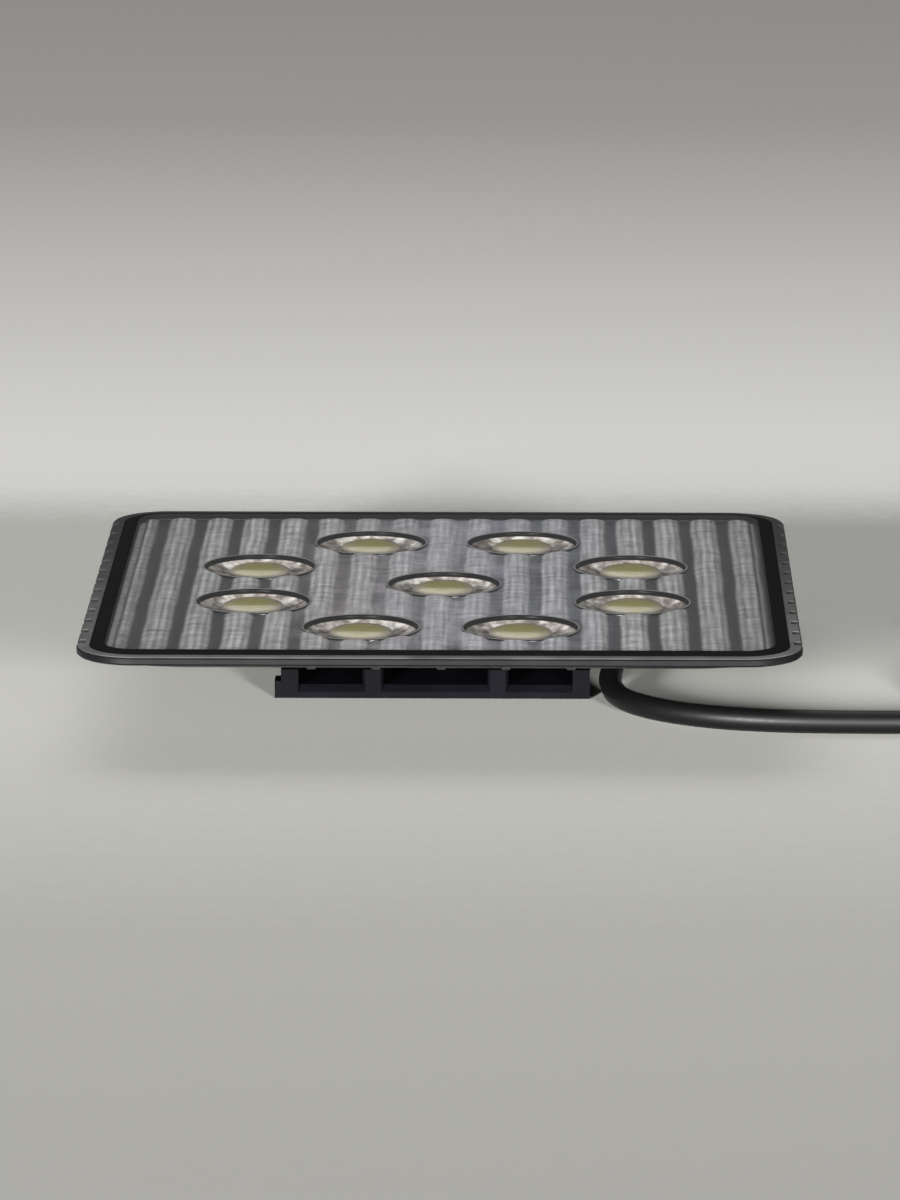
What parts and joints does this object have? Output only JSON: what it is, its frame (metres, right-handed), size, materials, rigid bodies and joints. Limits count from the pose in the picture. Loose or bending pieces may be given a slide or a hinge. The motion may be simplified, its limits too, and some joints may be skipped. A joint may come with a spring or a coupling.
{
  "type": "fog light",
  "caption": "Square LED fog and work lamp with a fluted reflector and clear flat lens, tilting on a low bolt-down bracket, with a short lead.",
  "frame": {"origin": "centre of the bracket's bolt hole, on its mounting face", "axes": "+Z the way the light shines, +X along the tilt pivot with the cable side positive, -Y towards the lamp's overhanging edge"},
  "size_m": [0.1746, 0.11, 0.017],
  "materials": {
    "housing_paint": "satin black powder coat",
    "bezel_paint": "satin black",
    "lens_clear": "clear moulded polycarbonate",
    "reflector_metal": "vacuum metallised plastic",
    "phosphor": "yellow phosphor under silicone",
    "ceramic": "white LED ceramic",
    "board": "white solder mask on aluminium",
    "thermal": "grey silicone pad",
    "seal": "black silicone",
    "steel": "stainless steel",
    "dark_steel": "black oxide steel",
    "chip_plastic": "black moulded plastic",
    "can_metal": "aluminium cans",
    "nylon": "black nylon",
    "foot_paint": "satin black powder coat",
    "jacket": "black cable jacket",
    "core_red_pvc": "red insulation",
    "core_black_pvc": "black insulation",
    "brass": "brass terminals"
  },
  "bodies": {
    "bracket": {"bracket": "foot_paint", "cable_lead": "jacket", "cable_run": "jacket", "cable_coil": "jacket", "cable_tail": "jacket", "cable_boot": "jacket", "core_red": "core_red_pvc", "core_black": "core_black_pvc", "terminal_sleeves": "core_red_pvc", "terminal_bullets": "brass"},
    "head": {"housing": "housing_paint", "bezel": "bezel_paint", "sealant_bead": "seal", "lens": "lens_clear", "lens_gasket": "seal", "reflector": "reflector_metal", "led_domes": "phosphor", "led_bases": "ceramic", "led_board": "board", "thermal_pad": "thermal", "board_screws": "steel", "inductor": "chip_plastic", "driver_chip": "chip_plastic", "capacitors": "can_metal", "diode": "chip_plastic", "input_wires": "core_red_pvc", "vent_plug": "nylon", "cable_grommet": "seal", "pivot_screws": "dark_steel", "lock_washers": "dark_steel", "flat_washers": "dark_steel", "friction_washers": "nylon"}
  },
  "joints": [
    {"name": "tilt", "type": "hinge", "parent": "bracket", "child": "head", "pos_m": [0, 0, 0.0063], "axis": [1, 0, 0], "range_deg": [-12, 8], "deforming": ["cable_lead"]}
  ]
}
